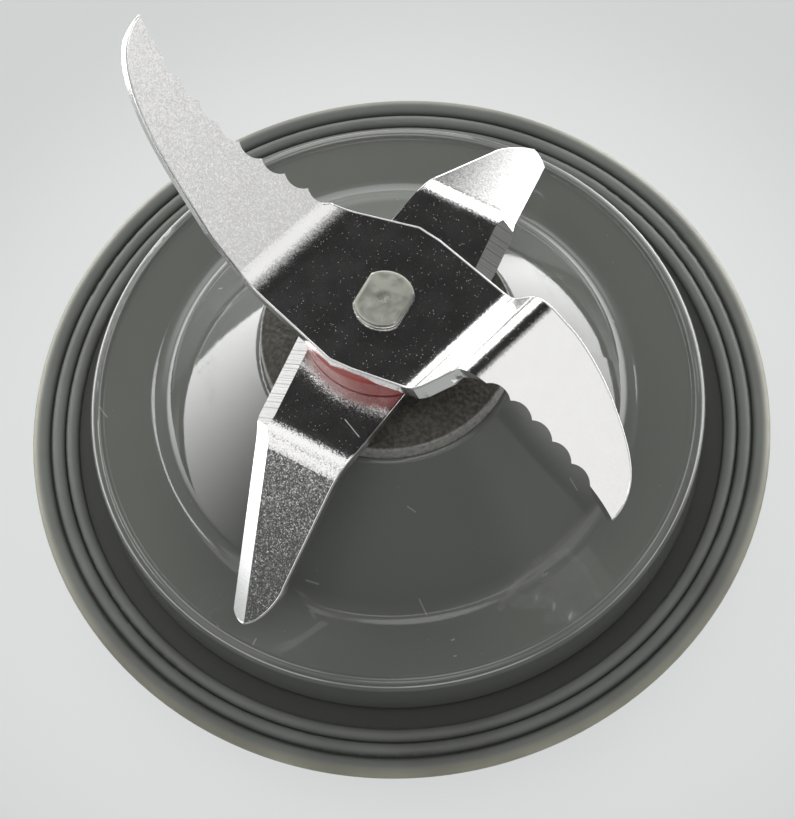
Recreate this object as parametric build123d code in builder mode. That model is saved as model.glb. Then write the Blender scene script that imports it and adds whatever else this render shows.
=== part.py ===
"""Blade unit of a jug blender: grey base with gasket, bearing stack and a riveted pair of blades."""
import os
from math import cos, hypot, radians, sin, tan

from build123d import *

# Heights above the table, in millimetres
plateau_height = 24.0
hub_height = 14.6
flange_height = 12.7
flange_thickness = 2.2
floor_height = 9.5
floor_thickness = 2.0

# Housing
wall = 2.4
spigot_radius = 35.0
rim_round = 1.1
rim_bead_height = 0.35
rim_bead_run = 0.6
flange_round = 0.5
skirt_setback = 0.6
skirt_chamfer = 0.4
hub_overhang = 4.0
hub_flare = 12.0
hub_foot_round = 3.5
hub_top_round = 0.7
boss_wall = 2.4
rib_count = 6
rib_thickness = 1.8
post_count = 3
post_radius = 3.2
post_circle_radius = 20.0

# Gasket
gasket_thickness = 3.0
gasket_seat_depth = 0.4
gasket_flat = 2.6
gasket_ridge_count = 2
gasket_ridge_pitch = 1.65
gasket_ridge_height = 0.75
gasket_bead_radius = 1.1
gasket_overhang = 2.1
gasket_lip_drop = 0.7

# Shaft, seal and bearings
shaft_radius = 4.0
running_clearance = 0.03
end_play = 0.15
sleeve_wall = 1.0
bush_wall = 3.0
bush_length = 8.0
felt_clearance = 0.25
web_thickness = 1.5
seal_height = 3.6
seal_width = 3.6
seal_wall = 1.1
seal_lip_height = 0.6
seal_spring_radius = 0.45
collar_step = 1.2
collar_height = 1.0
thrust_washer_width = 1.4
lower_washer_width = 2.6
thrust_washer_thickness = 0.7
turning_clearance = 0.3
clip_width = 1.8
clip_thickness = 0.85
clip_groove_depth = 0.4
clip_gap_angle = 70.0
thread_step = 1.0
tang_step = 0.7
tang_flat_depth = 0.65
tang_clearance = 0.05
tang_turn = 54.0
rivet_stand = 0.65
rivet_round = 0.25
rivet_mark_radius = 0.55
rivet_mark_taper = 40.0

# Disc, washer and spacer on the hub
disc_setback = 0.5
disc_thickness = 2.2
disc_bore_clearance = 0.6
disc_edge_round = 0.35
disc_running_gap = 0.4
support_washer_radius = 8.0
support_washer_thickness = 1.1
spacer_radius = 9.0
spacer_height = 3.2
spacer_chamfer = 0.25

# Blades
blade_thickness = 1.5
lower_turn = 233.8
lower_bend_reach = 17.0
lower_bend_angle = 42.9
lower_bend_radius = 5.0
bevel_width = 1.9
bevel_depth = 1.25
upper_turn = 307.8
raised_bend_reach = 11.3
raised_bend_angle = 38.0
raised_bend_radius = 6.0
hump_start = 9.5
hump_run = 4.3
hump_height = 6.6
hump_foot_radius = 2.5
hump_top_radius = 2.5
over_bend_angle = 28.0
scallop_pitch = 3.05
scallop_radius = 2.2
scallop_depth = 0.62
scallop_grind_angle = 35.0
neck_clearance = 0.2

# Coupling and fasteners
coupling_foot = 1.5
coupling_core_radius = 8.6
coupling_tooth_length = 4.0
coupling_tooth_count = 6
coupling_tooth_root = 5.2
coupling_tooth_tip = 3.6
coupling_chamfer = 0.6
coupling_gap = 0.85
insert_across_flats = 10.0
insert_depth = 6.0
shaft_end_recess = 0.8
housing_clearance = 0.3
screw_radius = 1.5
screw_head_radius = 2.9
screw_length = 9.0
screw_hole_spare = 1.0
screw_slot_length = 3.4
screw_slot_width = 0.8
screw_slot_depth = 0.7

# Heights and radii that follow from the sizes above
hub_top = plateau_height + hub_height
under_plateau = plateau_height - wall
under_hub = hub_top - wall
rim_top = plateau_height + rim_bead_height
flange_top = flange_height + flange_thickness
gasket_top = flange_top + gasket_thickness
gasket_valley = gasket_top - gasket_ridge_height
floor_top = floor_height + floor_thickness
seal_foot = hub_top - seal_height
stack_top = seal_foot - web_thickness
felt_length = stack_top - floor_top - 2 * bush_length
shaft_bore = shaft_radius + running_clearance
bush_radius = shaft_bore + bush_wall
sleeve_radius = bush_radius + sleeve_wall
boss_radius = sleeve_radius + boss_wall
seal_radius = shaft_bore + seal_width
thrust_washer_radius = shaft_radius + thrust_washer_width
lower_washer_radius = shaft_radius + lower_washer_width
hub_top_radius = boss_radius + hub_overhang
hub_foot_radius = hub_top_radius + hub_flare
seat_radius = spigot_radius - gasket_seat_depth
gasket_bead_start = seat_radius + gasket_flat + gasket_ridge_count * gasket_ridge_pitch
gasket_radius = gasket_bead_start + 2 * gasket_bead_radius
flange_radius = gasket_radius - gasket_overhang
skirt_radius = spigot_radius - skirt_setback
skirt_inner = skirt_radius - wall
wall_inner = seat_radius - wall
disc_top = hub_top + disc_thickness
shoulder_height = disc_top + disc_running_gap
lower_blade_foot = shoulder_height + support_washer_thickness
lower_blade_top = lower_blade_foot + blade_thickness
upper_blade_foot = lower_blade_top + spacer_height
upper_blade_top = upper_blade_foot + blade_thickness
shaft_top = upper_blade_top + rivet_stand
upper_washer_foot = stack_top + end_play
collar_foot = upper_washer_foot + thrust_washer_thickness
lower_washer_foot = floor_top - end_play - thrust_washer_thickness
clip_foot = lower_washer_foot - clip_thickness
coupling_top = clip_foot - coupling_gap
insert_foot = coupling_top - insert_depth
groove_radius = shaft_radius - clip_groove_depth
thread_radius = shaft_radius - thread_step
tang_radius = shaft_radius - tang_step
hump_top = hump_start + hump_run
cone_slope = hub_flare / hub_height
cone_wall = wall * hypot(1, cone_slope)
overrun = 2 * spigot_radius


def cone_inside(height):
    """Inner radius of the hub's cone at a height above the table."""
    return hub_top_radius + (hub_top - height) * cone_slope - cone_wall


def corner(sketch, across, up):
    """Corner of a profile at a given place."""
    return sketch.vertices().sort_by_distance((across, up))[0]


def ring(outer, inner, foot, height):
    """Plain round ring, standing on the height given by foot."""
    with BuildPart() as made:
        with BuildSketch(Plane.XY.offset(foot)):
            Circle(outer)
            Circle(inner, mode=Mode.SUBTRACT)
        extrude(amount=height)
    return made.part


def tang_sketch(clearance):
    """Round end with two flats, as on the shaft and in all that is riveted on it."""
    with BuildSketch() as made:
        Circle(tang_radius + clearance)
        across_flats = 2 * (tang_radius - tang_flat_depth + clearance)
        Rectangle(tang_radius * 4, across_flats, rotation=tang_turn, mode=Mode.INTERSECT)
    return made.sketch


def heading(turn):
    """Level direction of a blade arm."""
    return Vector(cos(radians(turn)), sin(radians(turn)), 0)


def arm_plane(turn, reach, height, slope):
    """Plane of an arm's top face: x runs outward along the arm, which climbs by slope degrees."""
    out = heading(turn)
    up = Vector(0, 0, 1)
    climb = radians(slope)
    return Plane(
        origin=out * reach + up * height,
        x_dir=out * cos(climb) + up * sin(climb),
        z_dir=up * cos(climb) - out * sin(climb),
    )


def section_plane(turn):
    """Upright plane through the axis: x runs outward along the arm and y runs up."""
    out = heading(turn)
    return Plane(origin=(0, 0, 0), x_dir=out, z_dir=out.cross(Vector(0, 0, 1)))


def along_slope(spot, reach, slope):
    """Plan position on a sloped arm turned into a position on the arm's own face."""
    return (spot[0] - reach) / cos(radians(slope)), spot[1]


def grind_plane(face, start, end):
    """Plane across a leading edge on an arm's face: x runs into the blade and y runs up from the face."""
    tail = face.from_local_coords(Vector(*start))
    head = face.from_local_coords(Vector(*end))
    run = (head - tail).normalized()
    return Plane(origin=tail, x_dir=face.z_dir.cross(run), z_dir=run)


def top_skin(blank):
    """Upper faces of a bent blank, from edge to edge."""
    least_lift = 0.1
    return blank.faces().filter_by(lambda face: face.normal_at(face.center()).Z > least_lift)


def save(part, label):
    """Label a finished piece and write it."""
    part.label = label
    export_step(part, f"parts/{label}.step")


os.makedirs("parts", exist_ok=True)

# Hollow under the hub and plateau, with the ribs and screw posts left standing
with BuildPart() as hollow:
    with BuildSketch(Plane.XZ):
        with BuildLine():
            Polyline(
                (boss_radius, floor_top),
                (wall_inner, floor_top),
                (wall_inner, under_plateau),
                (cone_inside(under_plateau), under_plateau),
                (cone_inside(under_hub), under_hub),
                (boss_radius, under_hub),
                close=True,
            )
        make_face()
    revolve(axis=Axis.Z)
    with BuildSketch(Plane.XY.offset(floor_top)):
        with PolarLocations(wall_inner / 2, rib_count):
            Rectangle(wall_inner, rib_thickness)
        with PolarLocations(post_circle_radius, post_count):
            Circle(post_radius)
    extrude(amount=hub_top, mode=Mode.SUBTRACT)

# Base body: the upper moulding, turned profile less the hollow
with BuildPart() as base_body:
    with BuildSketch(Plane.XZ) as base_profile:
        with BuildLine():
            bead_start = (spigot_radius - rim_round - rim_bead_run, plateau_height)
            bead_end = (spigot_radius - rim_round, rim_top)
            rim_foot = (spigot_radius, rim_top - rim_round)
            Polyline(
                (seal_radius, hub_top),
                (hub_top_radius, hub_top),
                (hub_foot_radius, plateau_height),
                bead_start,
            )
            Spline(bead_start, bead_end, tangents=[(1, 0), (1, 0)])
            TangentArc(bead_end, rim_foot, tangent=(1, 0))
            Polyline(
                rim_foot,
                (spigot_radius, gasket_top),
                (seat_radius, gasket_top),
                (seat_radius, flange_top),
                (skirt_inner - housing_clearance, flange_top),
                (skirt_inner - housing_clearance, floor_top),
                (sleeve_radius, floor_top),
                (sleeve_radius, stack_top),
                (thrust_washer_radius + turning_clearance, stack_top),
                (thrust_washer_radius + turning_clearance, seal_foot),
                (seal_radius, seal_foot),
                (seal_radius, hub_top),
            )
        make_face()
        fillet(corner(base_profile, hub_top_radius, hub_top), hub_top_round)
        fillet(corner(base_profile, hub_foot_radius, plateau_height), hub_foot_round)
    revolve(axis=Axis.Z)
    add(hollow.part, mode=Mode.SUBTRACT)
    with BuildSketch(Plane.XY.offset(floor_top)):
        with PolarLocations(post_circle_radius, post_count):
            Circle(screw_radius)
    extrude(amount=screw_length + screw_hole_spare, mode=Mode.SUBTRACT)
save(base_body.part, "base_body")

# Gasket: ridged on top, with a round outer bead whose lip laps the flange's edge
with BuildPart() as rim_gasket:
    bead_middle = gasket_bead_start + gasket_bead_radius
    gasket_lip_foot = flange_top - gasket_lip_drop
    with BuildSketch(Plane.XZ):
        with BuildLine():
            ridge_start = (seat_radius + gasket_flat, gasket_valley)
            Polyline((seat_radius, flange_top), (seat_radius, gasket_valley), ridge_start)
            for ridge in range(gasket_ridge_count):
                ridge_end = (ridge_start[0] + gasket_ridge_pitch, gasket_valley)
                crest = ((ridge_start[0] + ridge_end[0]) / 2, gasket_top)
                ThreePointArc(ridge_start, crest, ridge_end)
                ridge_start = ridge_end
            Polyline(
                ridge_end,
                (bead_middle, gasket_valley),
                (bead_middle, gasket_lip_foot),
                (flange_radius, gasket_lip_foot),
                (flange_radius, flange_top),
                (seat_radius, flange_top),
            )
        make_face()
        with Locations((bead_middle, gasket_top - gasket_bead_radius)):
            Circle(gasket_bead_radius)
    revolve(axis=Axis.Z)
save(rim_gasket.part, "rim_gasket")

# Black disc that caps the seal
with BuildPart() as top_disc:
    with BuildSketch(Plane.XY.offset(hub_top)):
        Circle(hub_top_radius - disc_setback)
        Circle(shaft_radius + disc_bore_clearance, mode=Mode.SUBTRACT)
    extrude(amount=disc_thickness)
    disc_edges = top_disc.edges().filter_by(GeomType.CIRCLE).group_by(Axis.Z)[-1]
    fillet(disc_edges.sort_by(SortBy.RADIUS)[-1], disc_edge_round)
save(top_disc.part, "top_disc")

# Shaft seal: a lip held to the shaft by a ring spring
spring_seat = shaft_bore + seal_wall
lip_foot = seal_foot + seal_height / 2
lip_top = lip_foot + seal_lip_height
seal_underside = hub_top - seal_wall
with BuildPart() as lip_seal:
    with BuildSketch(Plane.XZ):
        with BuildLine():
            Polyline(
                (seal_radius, seal_foot),
                (seal_radius, hub_top),
                (spring_seat, hub_top),
                (shaft_bore, lip_top),
                (shaft_bore, lip_foot),
                (spring_seat, lip_foot - seal_lip_height / 2),
                (spring_seat, lip_top),
                (spring_seat + seal_wall / 2, seal_underside),
                (seal_radius - seal_wall, seal_underside),
                (seal_radius - seal_wall, seal_foot),
                close=True,
            )
        make_face()
    revolve(axis=Axis.Z)
save(lip_seal.part, "lip_seal")

with BuildPart() as seal_spring:
    with BuildSketch(Plane.XZ):
        with Locations((spring_seat + seal_spring_radius, lip_foot)):
            Circle(seal_spring_radius)
    revolve(axis=Axis.Z)
save(seal_spring.part, "seal_spring")

# Bearing stack in the boss, and the washers that turn with the shaft
felt_bore = shaft_radius + felt_clearance
save(ring(sleeve_radius, bush_radius, floor_top, stack_top - floor_top), "bearing_sleeve")
save(ring(bush_radius, shaft_bore, floor_top, bush_length), "lower_bush")
save(ring(bush_radius, felt_bore, floor_top + bush_length, felt_length), "oil_felt")
save(ring(bush_radius, shaft_bore, stack_top - bush_length, bush_length), "upper_bush")
upper_washer = ring(thrust_washer_radius, shaft_radius, upper_washer_foot, thrust_washer_thickness)
save(upper_washer, "upper_thrust_washer")
lower_washer = ring(lower_washer_radius, shaft_radius, lower_washer_foot, thrust_washer_thickness)
save(lower_washer, "lower_thrust_washer")

# Open clip in the shaft's groove
with BuildPart() as retaining_clip:
    clip_radius = shaft_radius + clip_width
    with BuildSketch(Plane.XY.offset(clip_foot)):
        Circle(clip_radius)
        Circle(groove_radius, mode=Mode.SUBTRACT)
        with BuildLine():
            gap_reach = clip_radius * 2
            gap_half = gap_reach * tan(radians(clip_gap_angle / 2))
            Polyline((0, 0), (gap_reach, -gap_half), (gap_reach, gap_half), close=True)
        make_face(mode=Mode.SUBTRACT)
    extrude(amount=clip_thickness)
save(retaining_clip.part, "retaining_clip")

# Shaft: turned profile, then the flats of the riveted end
with BuildPart() as drive_shaft:
    shaft_foot = coupling_foot + shaft_end_recess
    collar_radius = shaft_radius + collar_step
    with BuildSketch(Plane.XZ):
        with BuildLine():
            Polyline(
                (0, shaft_foot),
                (thread_radius, shaft_foot),
                (thread_radius, coupling_top),
                (shaft_radius, coupling_top),
                (shaft_radius, clip_foot),
                (groove_radius, clip_foot),
                (groove_radius, lower_washer_foot),
                (shaft_radius, lower_washer_foot),
                (shaft_radius, collar_foot),
                (collar_radius, collar_foot),
                (collar_radius, collar_foot + collar_height),
                (shaft_radius, collar_foot + collar_height),
                (shaft_radius, shoulder_height),
                (0, shoulder_height),
                close=True,
            )
        make_face()
    revolve(axis=Axis.Z)
    with BuildSketch(Plane.XY.offset(shoulder_height)):
        add(tang_sketch(0))
    extrude(amount=shaft_top - shoulder_height)
    fillet(drive_shaft.edges().group_by(Axis.Z)[-1], rivet_round)
    with BuildSketch(Plane.XY.offset(shaft_top)):
        Circle(rivet_mark_radius)
    extrude(amount=-rivet_mark_radius / 2, taper=rivet_mark_taper, mode=Mode.SUBTRACT)
save(drive_shaft.part, "drive_shaft")

# Washer on the shaft's shoulder and red spacer between the blades
with BuildPart() as support_washer:
    with BuildSketch(Plane.XY.offset(shoulder_height)):
        Circle(support_washer_radius)
        add(tang_sketch(tang_clearance), mode=Mode.SUBTRACT)
    extrude(amount=support_washer_thickness)
save(support_washer.part, "support_washer")

with BuildPart() as blade_spacer:
    with BuildSketch(Plane.XY.offset(lower_blade_top)):
        Circle(spacer_radius)
        add(tang_sketch(tang_clearance), mode=Mode.SUBTRACT)
    extrude(amount=spacer_height)
    round_edges = blade_spacer.edges().filter_by(GeomType.CIRCLE)
    chamfer(round_edges.filter_by(lambda edge: edge.radius > shaft_radius), spacer_chamfer)
save(blade_spacer.part, "blade_spacer")

# Lower blade: bent strip cut to its plan outline, two like arms, leading edges ground
lead_start = (4.0, -7.9)
lead_bend = (15.9, -6.75)
lead_end = (32.75, -2.0)
lower_tip = [(33.25, -0.7), (31.3, 2.0), (28.4, 2.95)]
lower_back = [(19.0, 4.1), (13.8, 5.0)]
lower_root = 6.9
with BuildSketch() as lower_arm:
    with BuildLine():
        Polyline((0, lower_root), (0, -lower_root), lead_start, lead_bend, lead_end)
        Spline(lead_end, *lower_tip)
        Polyline(lower_tip[-1], *lower_back, (0, lower_root))
    make_face()

with BuildPart() as lower_blank:
    lower_drop = (overrun - lower_bend_reach) * tan(radians(lower_bend_angle))
    with BuildSketch(section_plane(lower_turn)):
        with BuildLine():
            FilletPolyline(
                (-overrun, lower_blade_top - lower_drop),
                (-lower_bend_reach, lower_blade_top),
                (lower_bend_reach, lower_blade_top),
                (overrun, lower_blade_top - lower_drop),
                radius=lower_bend_radius,
            )
            offset(amount=blade_thickness, side=Side.RIGHT)
        make_face()
    extrude(amount=overrun, both=True)
    with BuildSketch(Plane.XY.rotated((0, 0, lower_turn))):
        with PolarLocations(0, 2):
            add(lower_arm.sketch)
    extrude(amount=upper_blade_top, mode=Mode.INTERSECT)

with BuildPart() as lower_blade:
    for face in top_skin(lower_blank):
        thicken(face, amount=-blade_thickness)
    with BuildSketch():
        add(tang_sketch(tang_clearance))
    extrude(amount=upper_blade_top, mode=Mode.SUBTRACT)
    for turn in (lower_turn, lower_turn + 180):
        level = arm_plane(turn, 0, lower_blade_top, 0)
        slope = arm_plane(turn, lower_bend_reach, lower_blade_top, -lower_bend_angle)
        sloped_bend = along_slope(lead_bend, lower_bend_reach, lower_bend_angle)
        sloped_end = along_slope(lead_end, lower_bend_reach, lower_bend_angle)
        for face, start, end in ((level, lead_start, lead_bend), (slope, sloped_bend, sloped_end)):
            with BuildSketch(grind_plane(face, start, end)):
                with BuildLine():
                    Polyline(
                        (bevel_width, 0),
                        (-bevel_width, -2 * bevel_depth),
                        (-bevel_width, blade_thickness),
                        (bevel_width, blade_thickness),
                        close=True,
                    )
                make_face()
            extrude(amount=overrun, both=True, mode=Mode.SUBTRACT)
save(lower_blade.part, "lower_blade")

# Upper blade: bent strip cut to its plan outline, its tips kept inside the jug's neck, leading edges scalloped
raised_edge = [(1.1, -4.0), (7.1, -1.85), (12.9, -0.1), (19.0, 0.6), (25.0, 0.7)]
raised_tip = (29.7, 0.1)
raised_scallops = 8
over_edge = [(2.9, -0.9), (9.2, 0.25), (15.25, 0.45), (18.5, 0.42)]
over_tip = (22.3, -0.1)
over_scallops = 5
plate_back = [(-9.6, 5.4), (-3.5, 8.8), (-0.8, 9.2), (hump_start, 9.5)]
over_back = [(18.5, 9.9), (22.7, 9.2), (27.2, 7.5), (31.6, 4.65)]
plate_front = [(13.2, -1.7), (9.6, -5.2), (3.2, -8.0), (0.8, -8.8)]
raised_back = [(-17.0, -8.7), (-22.8, -7.9), (-28.6, -6.45), (-32.2, -4.5)]


def raised_plan(spot):
    """Plan position, in the blade's frame, of a spot on the raised arm's face."""
    return -raised_bend_reach - spot[0] * cos(radians(raised_bend_angle)), -spot[1]


def over_plan(spot):
    """Plan position, in the blade's frame, of a spot on the face of the arm past the hump."""
    return hump_top + spot[0] * cos(radians(over_bend_angle)), spot[1]


with BuildSketch() as upper_outline:
    with BuildLine():
        Polyline(raised_plan(raised_edge[0]), *plate_back, over_back[0])
        Spline(*over_back, over_plan(over_tip))
        Spline(over_plan(over_tip), *[over_plan(spot) for spot in reversed(over_edge)])
        Polyline(over_plan(over_edge[0]), *plate_front, raised_back[0])
        Spline(*raised_back, raised_plan(raised_tip))
        Spline(raised_plan(raised_tip), *[raised_plan(spot) for spot in reversed(raised_edge)])
    make_face()

with BuildPart() as upper_blank:
    raised_rise = (overrun - raised_bend_reach) * tan(radians(raised_bend_angle))
    over_drop = (overrun - hump_top) * tan(radians(over_bend_angle))
    with BuildSketch(section_plane(upper_turn)):
        with BuildLine():
            FilletPolyline(
                (-overrun, upper_blade_top + raised_rise),
                (-raised_bend_reach, upper_blade_top),
                (hump_start, upper_blade_top),
                (hump_top, upper_blade_top + hump_height),
                (overrun, upper_blade_top + hump_height - over_drop),
                radius=[raised_bend_radius, hump_foot_radius, hump_top_radius],
            )
            offset(amount=blade_thickness, side=Side.RIGHT)
        make_face()
    extrude(amount=overrun, both=True)
    with BuildSketch(Plane.XY.rotated((0, 0, upper_turn))):
        add(upper_outline.sketch)
    extrude(amount=upper_blade_top * 2, mode=Mode.INTERSECT)

with BuildPart() as upper_blade:
    for face in top_skin(upper_blank):
        thicken(face, amount=-blade_thickness)
    Cylinder(spigot_radius - neck_clearance, 4 * upper_blade_top, mode=Mode.INTERSECT)
    with BuildSketch():
        add(tang_sketch(tang_clearance))
    extrude(amount=upper_blade_top * 2, mode=Mode.SUBTRACT)
    raised_face = arm_plane(upper_turn + 180, raised_bend_reach, upper_blade_top, raised_bend_angle)
    over_face = arm_plane(upper_turn, hump_top, upper_blade_top + hump_height, -over_bend_angle)
    grind_slope = tan(radians(scallop_grind_angle))
    cutter_depth = 2 * blade_thickness
    cutter_stand = scallop_depth / 2
    for face, edge, count in ((raised_face, raised_edge, raised_scallops), (over_face, over_edge, over_scallops)):
        guide = Spline(*edge, mode=Mode.PRIVATE)
        for step in range(count):
            along = (step + 0.5) * scallop_pitch
            foot = guide.position_at(along, position_mode=PositionMode.LENGTH)
            outward = guide.tangent_at(along, position_mode=PositionMode.LENGTH).rotate(Axis.Z, -90)
            middle = foot + outward * (scallop_radius - scallop_depth) - Vector(0, 0, cutter_depth)
            with Locations(face.location * Location(middle)):
                Cone(
                    scallop_radius + cutter_depth * grind_slope,
                    scallop_radius - cutter_stand * grind_slope,
                    cutter_depth + cutter_stand,
                    align=(Align.CENTER, Align.CENTER, Align.MIN),
                    mode=Mode.SUBTRACT,
                )
save(upper_blade.part, "upper_blade")

# Lower housing: flange that carries the gasket, skirt to stand on, and a floor that closes the underside
with BuildPart() as lower_housing:
    floor_bore = lower_washer_radius + turning_clearance
    with BuildSketch(Plane.XZ) as housing_profile:
        with BuildLine():
            Polyline(
                (floor_bore, floor_height),
                (skirt_inner, floor_height),
                (skirt_inner, 0),
                (skirt_radius, 0),
                (skirt_radius, flange_height),
                (flange_radius, flange_height),
                (flange_radius, flange_top),
                (skirt_inner, flange_top),
                (skirt_inner, floor_top),
                (floor_bore, floor_top),
                close=True,
            )
        make_face()
        fillet(corner(housing_profile, flange_radius, flange_height), flange_round)
        fillet(corner(housing_profile, skirt_radius, flange_height), flange_round)
        chamfer(corner(housing_profile, skirt_radius, 0), skirt_chamfer)
        chamfer(corner(housing_profile, skirt_inner, 0), skirt_chamfer)
    revolve(axis=Axis.Z)
    with Locations(Plane(origin=(0, 0, floor_height), x_dir=(1, 0, 0), z_dir=(0, 0, -1))):
        with PolarLocations(post_circle_radius, post_count):
            CounterSinkHole(screw_radius, screw_head_radius, floor_thickness, counter_sink_angle=90)
save(lower_housing.part, "lower_housing")

# Countersunk screws with a cross slot, one node
with BuildPart() as housing_screw:
    with BuildSketch(Plane.XZ):
        with BuildLine():
            Polyline(
                (0, floor_height),
                (screw_head_radius, floor_height),
                (screw_radius, floor_height + screw_head_radius - screw_radius),
                (screw_radius, floor_top + screw_length - screw_radius),
                (0, floor_top + screw_length),
                close=True,
            )
        make_face()
    revolve(axis=Axis.Z)
    with BuildSketch(Plane.XY.offset(floor_height)):
        Rectangle(screw_slot_length, screw_slot_width)
        Rectangle(screw_slot_width, screw_slot_length)
    extrude(amount=screw_slot_depth, mode=Mode.SUBTRACT)

with BuildPart() as housing_screws:
    with PolarLocations(post_circle_radius, post_count):
        add(housing_screw.part)
save(housing_screws.part, "housing_screws")

# Star coupling and its metal insert
with BuildSketch() as coupling_tooth:
    with BuildLine():
        coupling_tip = coupling_core_radius + coupling_tooth_length
        Polyline(
            (0, -coupling_tooth_root / 2),
            (coupling_core_radius, -coupling_tooth_root / 2),
            (coupling_tip, -coupling_tooth_tip / 2),
            (coupling_tip, coupling_tooth_tip / 2),
            (coupling_core_radius, coupling_tooth_root / 2),
            (0, coupling_tooth_root / 2),
            close=True,
        )
    make_face()

with BuildPart() as drive_coupling:
    with BuildSketch(Plane.XY.offset(coupling_foot)):
        Circle(coupling_core_radius)
        with PolarLocations(0, coupling_tooth_count):
            add(coupling_tooth.sketch)
    extrude(amount=coupling_top - coupling_foot)
    chamfer(drive_coupling.edges().group_by(Axis.Z)[0], coupling_chamfer)
    with BuildSketch(Plane.XY.offset(insert_foot)):
        RegularPolygon(insert_across_flats / 2, 6, major_radius=False)
    extrude(amount=insert_depth, mode=Mode.SUBTRACT)
    with BuildSketch(Plane.XY.offset(coupling_foot)):
        Circle(thread_radius + turning_clearance)
    extrude(amount=insert_foot - coupling_foot, mode=Mode.SUBTRACT)
save(drive_coupling.part, "drive_coupling")

with BuildPart() as coupling_insert:
    with BuildSketch(Plane.XY.offset(insert_foot)):
        RegularPolygon(insert_across_flats / 2, 6, major_radius=False)
        Circle(thread_radius, mode=Mode.SUBTRACT)
    extrude(amount=insert_depth)
save(coupling_insert.part, "coupling_insert")
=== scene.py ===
"""Dressed model of a blender's blade unit: grey base, ridged gasket, bearings, riveted blades."""
import logging
from dataclasses import dataclass
from enum import Enum
from functools import partial, reduce
from math import cos, radians, sin
from typing import Callable, Optional, Union

import bpy
import numpy as np
from mathutils import Matrix, Vector


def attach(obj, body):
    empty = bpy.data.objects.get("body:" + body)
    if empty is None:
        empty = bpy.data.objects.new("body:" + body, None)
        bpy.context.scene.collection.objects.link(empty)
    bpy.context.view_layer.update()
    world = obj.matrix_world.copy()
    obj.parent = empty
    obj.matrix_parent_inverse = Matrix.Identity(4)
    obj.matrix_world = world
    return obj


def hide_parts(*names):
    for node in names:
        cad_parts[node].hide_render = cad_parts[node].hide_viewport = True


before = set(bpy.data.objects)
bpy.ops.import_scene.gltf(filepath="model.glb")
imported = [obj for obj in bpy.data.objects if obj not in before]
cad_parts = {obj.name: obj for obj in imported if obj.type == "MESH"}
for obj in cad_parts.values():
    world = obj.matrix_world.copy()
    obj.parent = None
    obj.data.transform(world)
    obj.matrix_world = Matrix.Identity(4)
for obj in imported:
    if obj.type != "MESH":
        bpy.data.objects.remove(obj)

Socket = bpy.types.NodeSocket
Feed = Union[float, int, tuple, Socket]
Piece = bpy.types.Object
NUMBERS = ("DOT_PRODUCT", "LENGTH", "DISTANCE")  # vector operations that give a number
MM = 0.001  # in metres
TINY = 1e-12  # least divisor
LEVEL = (1.0, 1.0, 0.0)  # leaves the height out of a place
SPECK_CORE, STREAK_CORE, LINE_CORE = 0.6, 0.4, 0.3  # share of a mark that shows in full
MOST_PALE = 0.95
PLASTIC_IOR = 1.5
PITCH_SPREAD = (0.6, 1.6)  # shortest and longest ripple, in pitches
MADE: dict = {}  # materials made so far, by finish
log = logging.getLogger("blade_unit")


class Body(Enum):
    """The two bodies that pieces ride on."""

    BASE = "base"
    ROTOR = "rotor"


class Lay(Enum):
    """How the fine lines of a turned or ground surface run."""

    LEVEL_RINGS = "level_rings"
    FACE_RINGS = "face_rings"
    NONE = "none"


def heading(turn: float) -> np.ndarray:
    """Level unit vector at an angle in degrees from the x axis."""
    return np.array([cos(radians(turn)), sin(radians(turn)), 0.0])


def sky(azimuth: float, elevation: float) -> tuple:
    """Unit vector to a place in the studio.

    Args:
        azimuth: degrees from the front, positive to the right.
        elevation: degrees above the table.

    Returns:
        The direction as three numbers.
    """
    turn, climb = radians(azimuth), radians(elevation)
    return (sin(turn) * cos(climb), -cos(turn) * cos(climb), sin(climb))


def angles(count: int) -> np.ndarray:
    """Angles evenly round a full turn."""
    return np.linspace(0, 2 * np.pi, count, endpoint=False)


def dot(first: np.ndarray, second: np.ndarray) -> np.ndarray:
    """Dot product of each row with the same row of the other, as a column."""
    return np.sum(first * second, axis=1, keepdims=True)


def unit(rows: np.ndarray) -> np.ndarray:
    """Each row brought to a length of one."""
    return rows / np.maximum(np.linalg.norm(rows, axis=1, keepdims=True), TINY)


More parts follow.
